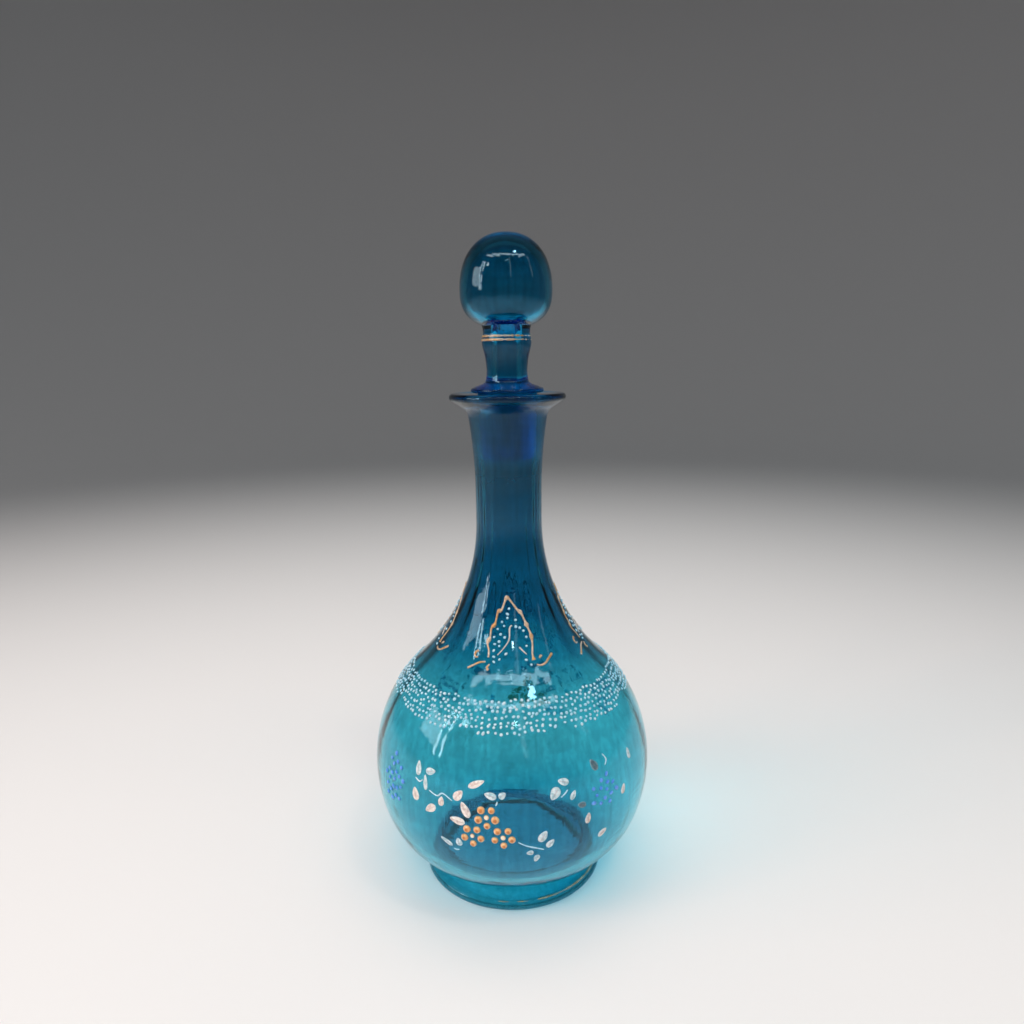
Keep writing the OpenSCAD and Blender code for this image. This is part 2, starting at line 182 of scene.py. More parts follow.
rim_c = (lip_r - rim_r, lip_z - rim_r)
flare_len = (rim_c[0] + rim_r * cos(flare_a) - waist_r - sweep_r * (1 - cos(sweep_a))
             - flare_r * (cos(sweep_a) - cos(flare_a))) / sin(flare_a)
sweep_z = (rim_c[1] - rim_r * sin(flare_a) - flare_len * cos(flare_a)
           - flare_r * (sin(flare_a) - sin(sweep_a)) - sweep_r * sin(sweep_a))
sweep_c = (waist_r + sweep_r, sweep_z)
flare_c = (sweep_c[0] - (sweep_r - flare_r) * cos(sweep_a),
           sweep_c[1] + (sweep_r - flare_r) * sin(sweep_a))
waist_z = sweep_z - waist_len
shoulder_r = (((waist_z - globe_z) ** 2 - globe_r ** 2 + waist_r ** 2)
              / (2 * (globe_r - waist_r)))
shoulder_c = (waist_r + shoulder_r, waist_z)
shoulder_a = math.degrees(math.atan2(waist_z - globe_z, shoulder_c[0]))

foot_guides = [(0.3, 0.7), (0.75, 0.48)]    # shares of the flare's width and the foot's height
foot_lip_h = foot_edge_r * 1.7
foot_flare = smooth(
    [(pad_r, foot_h)]
    + [(pad_r + (foot_r - pad_r) * x, foot_h * y) for x, y in foot_guides]
    + [(foot_r - foot_edge_r * 0.3, foot_lip_h)])
heel = arc(heel_c, heel_r, -pad_a, -heel_a)
glass_outline = (
    heel
    + arc((0, globe_z), globe_r, -heel_a + fine, shoulder_a - fine)
    + arc(shoulder_c, shoulder_r, 180 + shoulder_a, 180)
    + arc(sweep_c, sweep_r, 180, 180 - sweep_a, 0.5)
    + arc(flare_c, flare_r, 180 - sweep_a - fine, 180 - flare_a, 6)
    + arc(rim_c, rim_r, -flare_a, 90, 10))
print(f"neck is narrowest at z = {waist_z:.1f} mm; the outline has {len(glass_outline)} points")

# %% [markdown]
# Places on the glass
#
# The painter turns the bottle and works on its skin, so every dot and stroke is placed by an
# angle round the bottle and a height. The angle starts at the front and grows to the right.
# A place has a point, an outward direction, and two directions to draw along.

# %% Find a place on the glass
paint_gap = 0.03            # clearance between the glass and what is painted on it


def radius_at(points, z):
    """Radius of an outline at height z, between its two nearest points."""
    for (r0, z0), (r1, z1) in zip(points, points[1:]):
        if min(z0, z1) <= z <= max(z0, z1) and z0 != z1:
            return r0 + (r1 - r0) * (z - z0) / (z1 - z0)
    nearest = min(points, key=lambda p: abs(p[1] - z))
    return nearest[0]


radius_table = [radius_at(glass_outline, 0.1 * i) for i in range(int(lip_z / 0.1))]


def glass_r(z):
    """Radius of the bottle at height z."""
    return radius_table[min(max(int(round(z / 0.1)), 0), len(radius_table) - 1)]


class Place:
    """A point of the glass, with the directions right, up the glass and outwards."""

    def __init__(self, angle, z):
        z0 = math.floor(z / 0.1) * 0.1
        share = (z - z0) / 0.1
        self.angle = angle
        self.z = z
        self.r = glass_r(z0) * (1 - share) + glass_r(z0 + 0.1) * share
        slope = (glass_r(z + 0.5) - glass_r(z - 0.5))
        lean = math.hypot(1, slope)
        around = Vector((sin(angle), -cos(angle), 0))
        self.point = around * self.r + Vector((0, 0, z))
        self.right = Vector((cos(angle), sin(angle), 0))
        self.up = (around * slope + Vector((0, 0, 1))) / lean
        self.out = (around - Vector((0, 0, slope))) / lean
        self.lean = lean

    def near(self, x, y, height=0.0):
        """The point x to the right and y up along the glass, raised by height."""
        other = Place(self.angle + math.degrees(x / self.r), self.z + y / self.lean)
        return other.point + other.out * (paint_gap + height)


print("radius at the garland:", round(glass_r(90), 2), "mm")

# %% [markdown]
# One mesh builder
#
# Every piece is a list of points and faces. A small collector keeps them, with one number per
# point that the material reads later: how far up a bead the point is, or how near it is to a
# leaf's vein. Writing meshes this way keeps hundreds of beads in one quick object; separate
# objects with modifiers would be slow and harder to export.

# %% Collect points and faces
class Piece:
    """Collects points and faces in millimetres, and a named number at each point."""

    def __init__(self, name):
        self.name = name
        self.points = []
        self.faces = []
        self.marks = {}

    def add(self, points, faces, **marks):
        start = len(self.points)
        self.points += [tuple(c * MM for c in p) for p in points]
        self.faces += [tuple(start + i for i in face) for face in faces]
        for key, values in marks.items():
            column = self.marks.setdefault(key, [])
            column += [0.0] * (start - len(column)) + list(values)

    def finish(self, material, body, slot, *nodes):
        """Makes the object, gives it its material and ties it to the frame."""
        mesh = bpy.data.meshes.new(self.name)
        mesh.from_pydata(self.points, [], self.faces)
        mesh.shade_smooth()
        for key, values in self.marks.items():
            values += [0.0] * (len(self.points) - len(values))
            mesh.attributes.new(key, "FLOAT", "POINT").data.foreach_set("value", values)
        mesh.materials.append(material)
        piece = bpy.data.objects.new(self.name, mesh)
        bpy.context.scene.collection.objects.link(piece)
        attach(piece, body)
        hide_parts(*nodes)
        print(f"{self.name}: {len(self.points)} points, {len(self.faces)} faces")
        return piece


def strip(rows, width, closed=False):
    """Faces between rows of a grid whose rows hold width points each."""
    faces = []
    for i in range(rows - 1):
        for k in range(width if closed else width - 1):
            n = (k + 1) % width
            faces.append((i * width + k, i * width + n, (i + 1) * width + n, (i + 1) * width + k))
    return faces


# %% [markdown]
# Shader maths as Python
#
# A material is a sum of simple maths on sockets. This class wraps one socket, so that an
# expression such as `1 - mask * 0.5` adds the nodes by itself. Numbers use Math nodes, and
# colours and vectors use Vector Math, because a Math node would turn a colour grey.

# %% Wrap a socket in Python operators
class Sock:
    """An output socket that can be used in Python expressions."""

    def __init__(self, finish, socket):
        self.finish = finish
        self.socket = socket
        self.many = socket.type in ("VECTOR", "RGBA")

    def math(self, operation, a, b=None):
        many = any(isinstance(x, tuple) or (isinstance(x, Sock) and x.many) for x in (a, b))
        kind = "ShaderNodeVectorMath" if many else "ShaderNodeMath"
        sockets = {0: a}
        if b is not None:
            sockets[1] = b
        return self.finish.node(kind, {"operation": operation}, sockets)

    def __add__(self, other):
        return self.math("ADD", self, other)

    def __radd__(self, other):
        return self.math("ADD", other, self)

    def __sub__(self, other):
        return self.math("SUBTRACT", self, other)

    def __rsub__(self, other):
        return self.math("SUBTRACT", other, self)

    def __mul__(self, other):
        return self.math("MULTIPLY", self, other)

    def __rmul__(self, other):
        return self.math("MULTIPLY", other, self)

    def __truediv__(self, other):
        return self.math("DIVIDE", self, other)

    def __rtruediv__(self, other):
        return self.math("DIVIDE", other, self)

    def __pow__(self, other):
        return self.math("POWER", self, other)


class Finish:
    """A material under construction: nodes, links and the surface at the end."""

    def __init__(self, name):
        self.material = bpy.data.materials.new(name)
        self.material.use_nodes = True
        self.tree = self.material.node_tree
        self.tree.nodes.clear()
        self.output = self.tree.nodes.new("ShaderNodeOutputMaterial")

    def feed(self, socket, value):
        if isinstance(value, Sock):
            self.tree.links.new(value.socket, socket)
            return
        if socket.type == "RGBA":
            value = tuple(value) + (1.0,) if isinstance(value, tuple) else (value,) * 3 + (1.0,)
        elif socket.type == "VECTOR" and not isinstance(value, tuple):
            value = (value,) * 3
        socket.default_value = value

    def node(self, kind, settings=None, sockets=None, out=0):
        """Adds a node: its settings first, then the values or links of its sockets."""
        made = self.tree.nodes.new(kind)
        for key, value in (settings or {}).items():
            if key == "stops":
                ramp = made.color_ramp.elements
                while len(ramp) < len(value):
                    ramp.new(0.5)
                for element, (place, colour) in zip(ramp, value):
                    element.position = place
                    element.color = tuple(colour) + (1.0,)
            else:
                setattr(made, key, value)
        for key, value in (sockets or {}).items():
            self.feed(made.inputs[key], value)
        return Sock(self, made.outputs[out])

    def place(self):
        """The point in the frame, in millimetres, as long as its body is at rest."""
        return self.node("ShaderNodeTexCoord", out="Object") / MM

    def noise(self, where, scale, detail=3.0, rough=0.55, out="Fac"):
        sockets = {"Vector": where, "Scale": scale, "Detail": detail, "Roughness": rough}
        return self.node("ShaderNodeTexNoise", {}, sockets, out)

    def fade(self, value, low, high):
        """0 below low and 1 above high, with a soft turn between them."""
        sockets = {"Value": value, "From Min": low, "From Max": high}
        return self.node("ShaderNodeMapRange", {"interpolation_type": "SMOOTHSTEP"}, sockets)

    def mix(self, share, a, b):
        """Colour a where share is 0, and colour b where it is 1."""
        return self.node("ShaderNodeMix", {"data_type": "RGBA"}, {0: share, 6: a, 7: b}, 2)

    def mark(self, name):
        """The number that the mesh keeps at each point under this name."""
        return self.node("ShaderNodeAttribute", {"attribute_name": name}, out="Fac")

    def bump(self, height, distance, strength=1.0):
        sockets = {"Height": height, "Distance": distance, "Strength": strength}
        return self.node("ShaderNodeBump", {}, sockets)

    def surface(self, **values):
        """A Principled surface, with words_like_this for its socket names."""
        sockets = {key.replace("_", " "): value for key, value in values.items()}
        return self.node("ShaderNodeBsdfPrincipled", {}, sockets)

    def done(self, surface, volume=None):
        self.feed(self.output.inputs["Surface"], surface)
        if volume is not None:
            self.feed(self.output.inputs["Volume"], volume)
        print("material", self.material.name, "has", len(self.tree.nodes), "nodes")
        return self.material


# %% [markdown]
# Teal glass
#
# Old blown glass is coloured in the melt, so thick places are darker: the lip, the crown of
# the ball and the ring at the foot. Half of the colour is therefore a plain absorption inside
# the glass, and half a tint of the surface. That surface tint changes with height and paints
# light and shade: painted shade deepens the teal from the shoulder up and on the lip, painted
# light clears the neck where the plug stands behind it, and a painted highlight runs along the
# foot's edge. Fine cords of glass run round the bottle, and long upright streaks of painted
# light and shade run through the tint. A thin haze of wear dulls the skin a little. Shadow rays
# pass through a tinted clear surface, because light that bends through glass takes a renderer
# very long to find.

# %% Make the glass
bottle_depth = (0.10, 0.86, 0.93)
stopper_depth = (0.08, 0.80, 0.94)
absorption = 205.0          # per metre
shadow_tint = (0.66, 0.87, 0.90)
mirror_tint = (0.45, 0.82, 1.0)
globe_tint = (0.38, 0.81, 0.89)
# Painted shade: this tint deepens the teal of the shoulder and the neck.
painted_shade_neck_tint = (0.05, 0.35, 0.51)
# Painted light: this tint clears the neck where the plug stands behind it.
painted_light_mouth_tint = (0.10, 0.47, 0.70)
# Painted shade: this tint darkens the lip, over the real depth of its thick glass.
painted_shade_lip_tint = (0.03, 0.24, 0.46)
plug_tint = (0.14, 0.62, 0.74)
foot_tint = (0.42, 0.61, 0.67)
# Painted highlight: this paler tint lights the foot's edge.
painted_highlight_edge_tint = (0.62, 0.86, 0.95)
ball_tint = (0.10, 0.58, 0.77)
# Painted shade: between these heights the surface tint turns the globe's teal deeper.
dark_from, dark_to = 84, 104        # heights between which the globe's teal turns deeper
# Painted light: between these heights the neck's tint clears where the plug begins behind it.
light_from, light_to = 170, 176     # the neck clears where the plug begins behind it


def blown_glass(name, depth_colour, tint_at):
    """Glass whose surface tint is tint_at(finish, height)."""
    glass = Finish(name)
    where = glass.place()
    height = glass.node("ShaderNodeSeparateXYZ", {}, {"Vector": where}, "Z")
    cords = glass.noise(where * (1.0, 1.0, 6.0), 0.05, 3.0, 0.5)
    draws = glass.noise(where * (1.0, 1.0, 0.04), 0.45, 3.0, 0.6)
    ripple = glass.noise(where, 0.035, 2.0, 0.5)
    haze = glass.noise(where, 0.18, 5.0, 0.65)
    worn = glass.fade(haze, 0.5, 0.8)
    # The cords vary the glass's own colour; the long upright draws paint streaks of light and shade into
    # it.
    cords_and_painted_streaks = 0.77 + 0.12 * glass.fade(cords, 0.3, 0.75) + 0.2 * glass.fade(draws, 0.35, 0.65)
    skin = glass.surface(
        Base_Color=tint_at(glass, height) * cords_and_painted_streaks,
        Roughness=0.02 + worn * 0.08 + glass.mark("ground") * 0.3,
        IOR=1.5,
        Transmission_Weight=1.0,
        Specular_Tint=mirror_tint,
        Normal=glass.bump(cords * 0.15 + ripple + draws * 0.1, 0.0006, 0.6))
    clear = glass.node("ShaderNodeBsdfTransparent", {}, {"Color": shadow_tint})
    is_shadow = glass.node("ShaderNodeLightPath", out="Is Shadow Ray")
    mixed = glass.node("ShaderNodeMixShader", {}, {0: is_shadow, 1: skin, 2: clear})
    depth = glass.node("ShaderNodeVolumeAbsorption", {}, {"Color": depth_colour, "Density": absorption})
    return glass.done(mixed, depth)


def bottle_tint(glass, height):
    # Painted highlight on the foot's edge, painted shade from the shoulder up and on the lip, and painted
    # light on the neck where the plug stands behind it.
    base = glass.mix(glass.fade(height, 1.2, foot_lip_h), painted_highlight_edge_tint, foot_tint)
    base = glass.mix(glass.fade(height, foot_h - 2, foot_h + 4), base, globe_tint)
    body = glass.mix(glass.fade(height, dark_from, dark_to), base, painted_shade_neck_tint)
    mouth = glass.mix(glass.fade(height, light_from, light_to), body, painted_light_mouth_tint)
    return glass.mix(glass.fade(height, lip_z - 8, lip_z - 4), mouth, painted_shade_lip_tint)


def stopper_tint(glass, height):
    return glass.mix(glass.fade(height, lip_z - 2, lip_z), plug_tint, ball_tint)


bottle_material = blown_glass("blown_teal_glass", bottle_depth, bottle_tint)
stopper_material = blown_glass("blown_stopper_glass", stopper_depth, stopper_tint)

# %% [markdown]
# The bottle, with its foot fused on
#
# The foot is a separate gather of glass, but it is fused while hot, so no seam is left to see
# through. One closed skin is turned from the outline: under the foot, up the outside, over
# the lip, down the ground seat and along the inside. The neck was blown into a ribbed mould
# first, and the soft ribs that are left on its inside make the upright stripes.

# %% Turn the bottle
segments = 180
ribs = 18
rib_depth = 0.42            # on the neck
globe_rib_depth = 0.22
rib_low = globe_z - 20
rib_high = lip_z - seat_len
bore_r = waist_r - wall
seat_z = lip_z - seat_len
floor_z = foot_h + base_t
floor_a = math.degrees(math.asin((heel_c[1] - floor_z) / (heel_r - wall)))
inside_outline = (
    [(seat_top_r + mouth_bevel, lip_z), (seat_top_r, lip_z - mouth_bevel)]
    + [(bore_r + (seat_top_r - bore_r) * t / 8, seat_z + (lip_z - mouth_bevel - seat_z) * t / 8)
       for t in range(7, -1, -1)]
    + arc(shoulder_c, shoulder_r + wall, 180, 180 + shoulder_a)
    + arc((0, globe_z), globe_r - wall, shoulder_a - fine, -heel_a + fine)
    + arc(heel_c, heel_r - wall, -heel_a, -floor_a)
    + [(r, floor_z) for r in (15, 8, 3)])
foot_top_in = foot_h - foot_top_t
under_outline = (
    [(r, foot_top_in) for r in (6, 14, 21)]
    + [(pad_r - foot_top_t, foot_top_in), (foot_r - foot_edge_r - ring_w, 0)]
    + arc((foot_r - foot_edge_r, foot_edge_r), foot_edge_r, -90, 0, 10)
    + foot_flare[::-1])


def soften(points, corner, times=2):
    """Rounds the corner of an outline that lies nearest to the point corner."""
    at = min(range(len(points)), key=lambda i: math.dist(points[i], corner))
    for _ in range(times):
        old = list(points)
        for i in range(max(1, at - 2), min(len(points) - 1, at + 3)):
            points[i] = tuple((a + 2 * b + c) / 4 for a, b, c in zip(old[i - 1], old[i], old[i + 1]))


def lathe(piece, outline, low_z, high_z, shape, ground):
    """Turns an outline into a closed skin, with a point on the axis at each end."""
    points = [(0, 0, low_z)]
    for r, z in outline:
        for k in range(segments):
            turn = 360 * k / segments
            rr = shape(r, z, turn)
            points.append((rr * sin(turn), -rr * cos(turn), z))
    points.append((0, 0, high_z))
    rows = len(outline)
    last = len(points) - 1
    faces = [tuple(i + 1 for i in face) for face in strip(rows, segments, True)]
    for k in range(segments):
        n = (k + 1) % segments
        faces.append((0, 1 + n, 1 + k))
        faces.append((last, 1 + (rows - 1) * segments + k, 1 + (rows - 1) * segments + n))
    marks = [1.0 if p in ground else 0.0 for p in outline for _ in range(segments)]
    piece.add(points, faces, ground=[0.0] + marks + [0.0])


def ribbed(r, z, turn):
    """Radius of the inside at height z, with the soft ribs that the mould left."""
    share = max(0.0, min(1.0, (z - rib_low) / 40, (rib_high + 4 - z) / 12))
    depth = rib_depth + (globe_rib_depth - rib_depth) * min(1.0, (r - bore_r) / 25)
    return r - depth * share * (0.5 + 0.5 * cos(ribs * turn))


def bottle():
    outside = under_outline + glass_outline[1:]
    soften(outside, (pad_r, foot_h))
    inner = set(inside_outline)
    seat = {(r, z) for r, z in inside_outline if z >= seat_z and r < seat_top_r + 0.01}
    piece = Piece("bottle_glass")
    lathe(piece, outside + inside_outline, foot_top_in, floor_z,
          lambda r, z, turn: ribbed(r, z, turn) if (r, z) in inner else r, seat)
    return piece.finish(bottle_material, "bottle", "blue_glass", "bottle", "foot")


bottle_glass = bottle()

# %% [markdown]
# The ball stopper
#
# The stopper is blown too, and it is open at the tip of its plug where the blowing iron was
# cracked off. The glass gathered at the crown of the ball, so it is thick there and thin at
# the sides. The ground plug sits in the neck's seat with a hair's clearance.

# %% Turn the stopper
stopper_low, stopper_high = (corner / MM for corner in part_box("stopper"))
ball_r = stopper_high.x
plug_z = stopper_low.z
seat_gap = 0.15
plug_bevel = 1
hole_r = 4
flange_r = 14.2
flange_t = 2.8
flange_edge = 0.9           # the flange thins to this radius at its edge
flange_gap = 0.2
shaft_r = 7.9
collar_r = 9.5
collar_h = 18.7
dip_r = 9
ball_h = 38
ball_low = 13.8
ball_up = stopper_high.z - lip_z - ball_h
ball_wall = 2.4
crown_t = 3.8               # thickness of the glass at the ball's crown
oval_up = 2.25
oval_low = 2.5
flange_z = lip_z + flange_gap
flange_top = flange_z + flange_t
collar_z = lip_z + collar_h
ball_z = lip_z + ball_h
ball_neck_r = dip_r + 0.4
ball_neck_a = math.degrees(math.acos((ball_neck_r / ball_r) ** (oval_low / 2)))
hollow_a = math.degrees(math.acos((hole_r / (ball_r - ball_wall)) ** (oval_low / 2)))
ball_neck_z = ball_z - ball_low * sin(ball_neck_a) ** (2 / oval_low)


def seat_r(z):
    return bore_r + (seat_top_r - bore_r) * (z - seat_z) / (lip_z - mouth_bevel - seat_z)


stem = smooth([
    (flange_r - flange_edge, flange_z + 2 * flange_edge),
    (flange_r - 2, flange_top - 0.5),
    (flange_r - 3.6, flange_top + 0.1),
    (shaft_r + 0.9, flange_top + 0.9),
    (shaft_r + 0.2, flange_top + 2.6),
    (shaft_r, flange_top + 6),
    (shaft_r + 0.5, collar_z - 5),
    (collar_r, collar_z),
    (dip_r, (collar_z + ball_neck_z) / 2 + 0.4),
    (ball_neck_r, ball_neck_z)])
stopper_outline = (
    stem
    + oval(ball_z, ball_r, ball_low, oval_low, -ball_neck_a + fine, -fine, 3)
    + oval(ball_z, ball_r, ball_up, oval_up, 0, 89, 3))


def stopper():
    plug = [
        (hole_r, plug_z),
        (seat_r(plug_z) - seat_gap - plug_bevel, plug_z),
        (seat_r(plug_z + plug_bevel) - seat_gap, plug_z + plug_bevel),
        (seat_r(lip_z - mouth_bevel) - seat_gap, lip_z - mouth_bevel),
        (seat_r(lip_z - mouth_bevel) - seat_gap, flange_z)]
    flange = arc((flange_r - flange_edge, flange_z + flange_edge), flange_edge, -90, 80, 10)
    outside = plug + flange + stopper_outline
    hollow_r = ball_r - ball_wall
    inside = (
        oval(ball_z, hollow_r, ball_up - crown_t, oval_up, 89, 3, 3)
        + oval(ball_z, hollow_r, ball_low - ball_wall, oval_low, 0, -hollow_a, 3)
        + [(hole_r, plug_z + (ball_z - ball_low - plug_z) * t / 6) for t in (5, 4, 3, 2, 1)])
    piece = Piece("stopper_glass")
    lathe_ring(piece, outside, inside, stopper_high.z, ball_z + ball_up - crown_t, set(plug[1:]))
    return piece.finish(stopper_material, "stopper", "blue_glass", "stopper")


def lathe_ring(piece, outside, inside, crown, hollow_crown, ground):
    """Turns the stopper: its outside ends at the crown, and its inside starts under it."""
    rows = outside + inside
    points = []
    for r, z in rows:
        for k in range(segments):
            turn = 360 * k / segments
            points.append((r * sin(turn), -r * cos(turn), z))
    points += [(0, 0, crown), (0, 0, hollow_crown)]
    top = len(points) - 2
    out_rows = len(outside)
    faces = []
    for i in range(len(rows)):
        n = (i + 1) % len(rows)
        if i == out_rows - 1:
            continue
        for k in range(segments):
            m = (k + 1) % segments
            faces.append((i * segments + k, i * segments + m, n * segments + m, n * segments + k))
    for k in range(segments):
        m = (k + 1) % segments
        faces.append((top, (out_rows - 1) * segments + k, (out_rows - 1) * segments + m))
        faces.append((top + 1, out_rows * segments + m, out_rows * segments + k))
    marks = [1.0 if p in ground else 0.0 for p in rows for _ in range(segments)]
    piece.add(points, faces, ground=marks + [0.0, 0.0])


stopper_glass = stopper()

# %% [markdown]
# Enamels and gilding
#
# Enamel is ground coloured glass, laid on wet and fired, so a bead is a glossy little dome
# whose rim thins out over the glass. The gilding here is gold paint over a raised enamel
# line, rubbed by a century of hands: it is more beige than bright. Each finish is a
# procedural material that reads how high a point lies on its bead.

# %% Mix the enamels
# Light soaks through a bead, so its underside is not black when it is seen through the glass.
soaked = {
    "Subsurface_Weight": 0.6,
    "Subsurface_Radius": (0.8, 0.9, 1.0),
    "Subsurface_Scale": 1.2 * MM}


def white_enamel():
    enamel = Finish("white_dot_enamel")
    where = enamel.place()
    rise = enamel.mark("rise")
    patch = enamel.noise(where, 0.12, 2.0)
    grain = enamel.noise(where, 1.6, 3.0)
    thick = enamel.mix(enamel.fade(patch, 0.35, 0.65), (0.44, 0.71, 0.92), (0.66, 0.85, 0.98))
    colour = enamel.mix(enamel.fade(rise, 0.2, 0.9), (0.34, 0.68, 0.90), thick)
    return enamel.done(enamel.surface(
        Base_Color=colour,
        Roughness=0.3 + grain * 0.25,
        Coat_Weight=0.3,
        Transmission_Weight=0.15,
        Normal=enamel.bump(grain, 0.0002, 0.4),
        **soaked))


def stroke_enamel():
    enamel = Finish("beige_stroke_enamel")
    where = enamel.place()
    grain = enamel.noise(where, 1.2, 3.0)
    colour = enamel.mix(enamel.fade(grain, 0.35, 0.65), (0.46, 0.38, 0.33), (0.68, 0.62, 0.56))
    return enamel.done(enamel.surface(
        Base_Color=colour,
        Roughness=0.3 + grain * 0.25,
        Coat_Weight=0.2,
        Normal=enamel.bump(grain, 0.0002, 0.4),
        **soaked))


def pearl_enamel():
    enamel = Finish("pearly_bead_enamel")
    where = enamel.place()
    rise = enamel.mark("rise")
    grain = enamel.noise(where, 1.2, 3.0)
    colour = enamel.mix(enamel.fade(rise, 0.05, 0.9), (0.62, 0.36, 0.18), (0.88, 0.70, 0.52))
    return enamel.done(enamel.surface(
        Base_Color=colour,
        Roughness=0.18 + grain * 0.2,
        Coat_Weight=0.4,
        **soaked))


def orange_enamel():
    enamel = Finish("orange_bead_enamel")
    where = enamel.place()
    rise = enamel.mark("rise")
    grain = enamel.noise(where, 0.9, 3.0)
    rim = enamel.mix(enamel.fade(grain, 0.4, 0.65), (0.72, 0.36, 0.15), (0.86, 0.54, 0.28))
    crown = enamel.mix(enamel.fade(grain, 0.4, 0.6), (0.56, 0.21, 0.05), (0.44, 0.14, 0.03))
    colour = enamel.mix(enamel.fade(rise, 0.78, 0.96), rim, crown)
    return enamel.done(enamel.surface(
        Base_Color=colour,
        Roughness=0.2 + grain * 0.25,
        Coat_Weight=0.35,
        **soaked))


def blue_enamel():
    enamel = Finish("blue_bead_enamel")
    where = enamel.place()
    rise = enamel.mark("rise")
    patch = enamel.noise(where, 0.25, 2.0)
    body = enamel.mix(enamel.fade(patch, 0.35, 0.65), (0.06, 0.24, 0.70), (0.14, 0.32, 0.84))
    colour = enamel.mix(enamel.fade(rise, 0.1, 0.9), (0.05, 0.24, 0.50), body)
    return enamel.done(enamel.surface(
        Base_Color=colour,
        Roughness=0.3,
        Coat_Weight=0.2,
        **soaked))


def leaf_enamel():
    enamel = Finish("leaf_enamel")
    where = enamel.place()
    vein = enamel.mark("vein")
    rim = enamel.mark("rim")
    tone = enamel.mark("tone")
    brush = enamel.noise(where, 0.6, 4.0, 0.65)
    pale = enamel.mix(enamel.fade(brush, 0.38, 0.6), (0.30, 0.52, 0.60), (0.74, 0.86, 0.92))
    pink = enamel.mix(enamel.fade(brush, 0.36, 0.56), (0.62, 0.47, 0.43), (0.95, 0.85, 0.78))
    dark = enamel.mix(enamel.fade(brush, 0.35, 0.7), (0.02, 0.10, 0.14), (0.08, 0.22, 0.26))
    body = enamel.mix(enamel.fade(tone, 0.25, 0.45), pale, pink)
    body = enamel.mix(enamel.fade(tone, 0.75, 0.95), body, dark)
    veined = enamel.mix(vein * 0.42, body, (0.34, 0.18, 0.16))
    colour = enamel.mix(rim * 0.4, veined, (0.80, 0.88, 0.92))
    return enamel.done(enamel.surface(
        Base_Color=colour,
        Roughness=0.3 + brush * 0.3,
        Coat_Weight=0.2,
        Normal=enamel.bump(brush - vein, 0.0002, 0.5),
        **soaked))


def gilding():
    gilt = Finish("rubbed_gilding")
    where = gilt.place()
    rise = gilt.mark("rise")
    patch = gilt.noise(where, 0.22, 3.0)
    grain = gilt.noise(where, 1.4, 4.0, 0.65)
    worn = gilt.fade(patch, 0.36, 0.58)
    bright = gilt.mix(gilt.fade(grain, 0.35, 0.65), (0.52, 0.24, 0.07), (0.72, 0.42, 0.18))
    rubbed = gilt.mix(gilt.fade(grain, 0.35, 0.65), (0.44, 0.30, 0.20), (0.72, 0.57, 0.43))
    colour = gilt.mix(worn, bright, rubbed)
    raised = gilt.fade(rise, 0.0, 0.5)
    return gilt.done(gilt.surface(
        Base_Color=gilt.mix(raised, (0.62, 0.50, 0.38), colour),
        Metallic=raised * (0.55 - worn * 0.35),
        Roughness=0.28 + grain * 0.3,
        Normal=gilt.bump(grain, 0.0002, 0.5),
        **soaked))


white = white_enamel()
stroke_paint = stroke_enamel()
pearl = pearl_enamel()
orange = orange_enamel()
blue = blue_enamel()
leaf_paint = leaf_enamel()
gilt = gilding()

# %% [markdown]
# Beads of enamel
#
# A bead is dropped from a pointed brush, so no two are alike: they differ in size, they drift
# from their row, and some are drawn out where the brush dragged. Each is a low dome on the
# glass with a closed underside. The draws come from one seed per piece, so that the bottle is
# the same each time.

# %% Drop a bead on the glass
bead_sides = 12
bead_rings = (1.0, 0.86, 0.6, 0.3)      # radius of each ring, as a share of the bead's


def bead(piece, place, radius, height, stretch=1.0, turn=0.0, drift=(0.0, 0.0)):
    """A dome at a place, drawn out by stretch towards the angle turn."""
    points = []
    rises = []
    for ring in bead_rings:
        rise = math.sqrt(max(0.0, 1 - ring * ring))
        for k in range(bead_sides):
            a = 360 * k / bead_sides
            x = radius * ring * stretch * cos(a)
            y = radius * ring / math.sqrt(stretch) * sin(a)
            points.append(place.near(
                drift[0] + x * cos(turn) - y * sin(turn),
                drift[1] + x * sin(turn) + y * cos(turn),
                height * rise))
            rises.append(rise)
    points.append(place.near(drift[0], drift[1], height))
    points.append(place.near(drift[0], drift[1], 0))
    rises += [1.0, 0.0]
    crown = len(points) - 2
    inner = (len(bead_rings) - 1) * bead_sides
    faces = strip(len(bead_rings), bead_sides, True)
    for k in range(bead_sides):
        n = (k + 1) % bead_sides
        faces.append((inner + k, inner + n, crown))
        faces.append((n, k, crown + 1))
    piece.add(points, faces, rise=rises)


# %% [markdown]
# Painted lines
#
# The painter draws a line with a loaded brush: it starts thick, thins as the brush empties,
# and leaves a blob where the hand stops or turns. The line here is swept along its path on
# the glass with a rounded section, and a list of widths says where it swells.

# %% Draw a line on the glass
section = [(-1.0, 0.0), (-0.8, 0.6), (-0.35, 0.95), (0.35, 0.95), (0.8, 0.6), (1.0, 0.0)]


